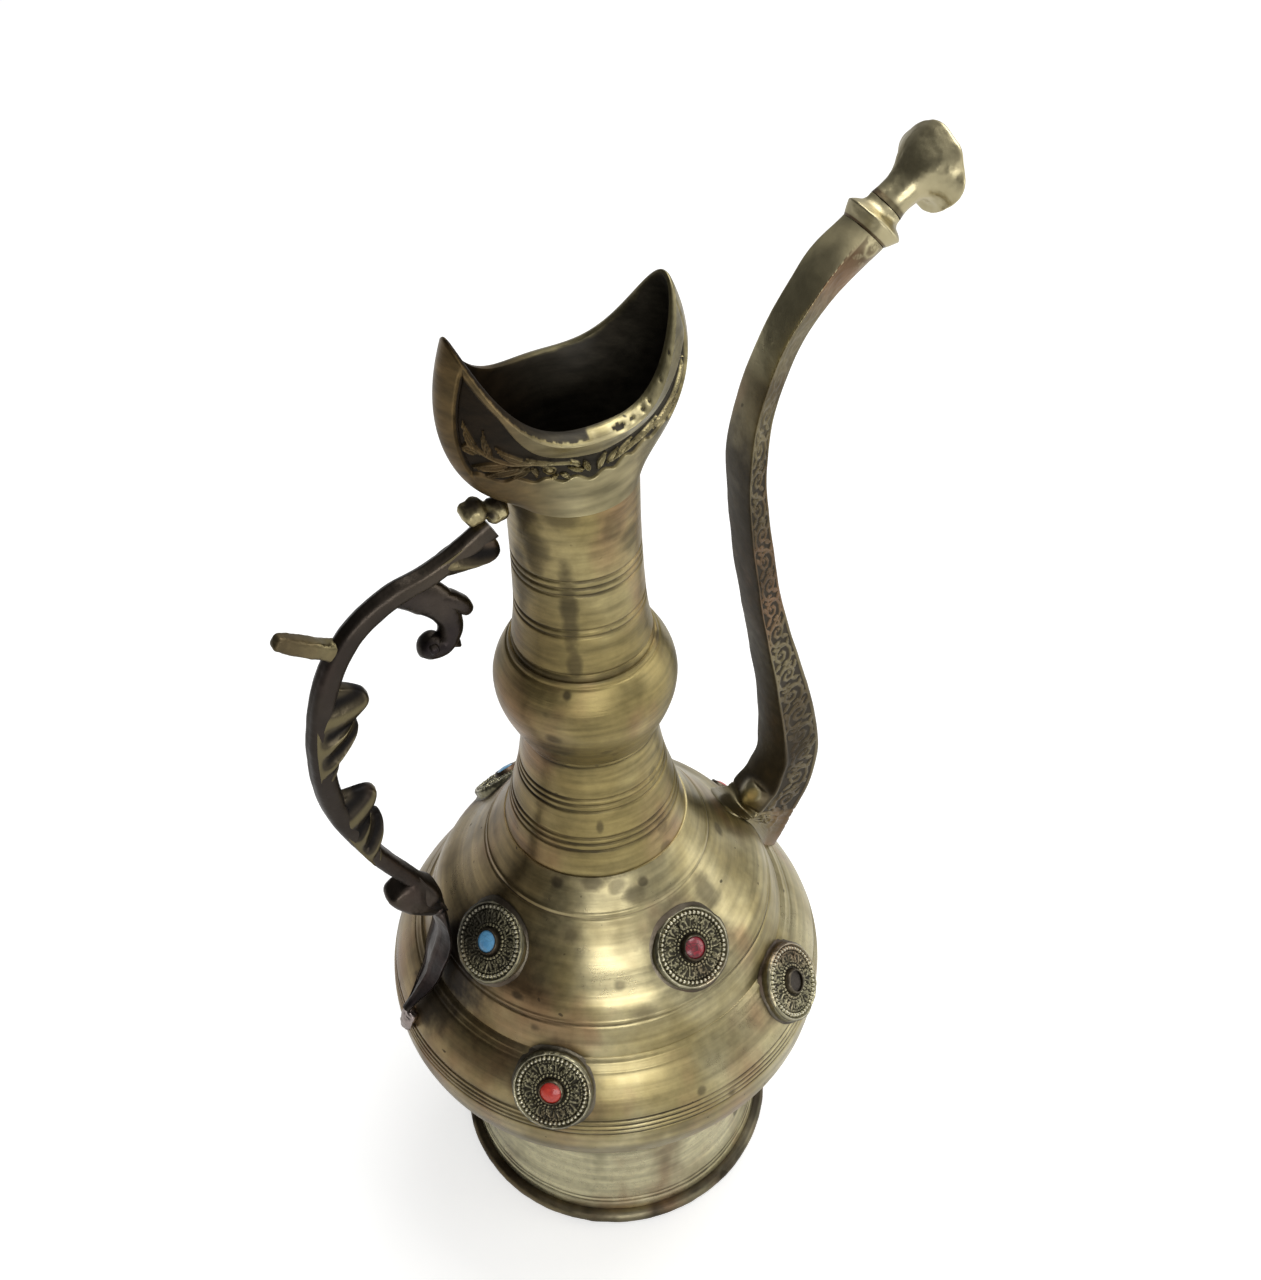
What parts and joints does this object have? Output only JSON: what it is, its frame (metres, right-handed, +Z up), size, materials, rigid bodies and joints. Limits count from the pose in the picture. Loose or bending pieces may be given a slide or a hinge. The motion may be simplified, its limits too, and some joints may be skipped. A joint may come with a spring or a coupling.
{
  "type": "spouted brass ewer",
  "caption": "Tall long-necked brass ewer with a crescent mouth, a high curved spout, a leafy cast handle and jewelled medallions on its belly.",
  "frame": {"origin": "centre of the foot ring's underside, on the surface the ewer stands on", "axes": "+Z up along the body's turning axis; +X towards the spout; -X towards the handle; Y across the crescent mouth's width"},
  "size_m": [0.1665, 0.1305, 0.3195],
  "materials": {
    "body_brass": "aged, turned and lightly polished, with dark patina",
    "spout_brass": "aged, smooth on its inner face, engraved on its sides",
    "dark_brass": "dark brown patina with worn edges",
    "worn_brass": "worn bright",
    "medallion_brass": "embossed and beaded, dark in the recesses",
    "turquoise_stone": "polished turquoise cabochon",
    "red_stone": "polished deep red cabochon"
  },
  "bodies": {
    "root": {"foot_ring": "dark_brass", "foot": "body_brass", "lower_bowl": "body_brass", "upper_bowl": "body_brass", "neck_lower": "body_brass", "knob_lower_cup": "body_brass", "knob_upper_cup": "body_brass", "neck_upper": "body_brass", "mouth_bowl": "body_brass", "spout": "spout_brass", "spout_knop": "spout_brass", "spout_nozzle": "spout_brass", "handle_bar": "dark_brass", "handle_knuckle": "worn_brass", "handle_inner_leaf": "dark_brass", "handle_scroll": "dark_brass", "handle_upper_leaf": "dark_brass", "handle_lower_leaf": "dark_brass", "handle_foot_leaf": "dark_brass", "handle_stub": "worn_brass", "handle_rivet": "dark_brass", "medallion_1": "medallion_brass", "medallion_2": "medallion_brass", "medallion_3": "medallion_brass", "medallion_4": "medallion_brass", "medallion_5": "medallion_brass", "medallion_6": "medallion_brass", "medallion_7": "medallion_brass", "bezel_1": "worn_brass", "bezel_2": "worn_brass", "bezel_3": "worn_brass", "bezel_4": "worn_brass", "bezel_5": "worn_brass", "bezel_6": "worn_brass", "bezel_7": "worn_brass", "cabochon_1": "turquoise_stone", "cabochon_2": "red_stone", "cabochon_3": "turquoise_stone", "cabochon_4": "red_stone", "cabochon_6": "red_stone", "cabochon_7": "red_stone"}
  },
  "joints": []
}
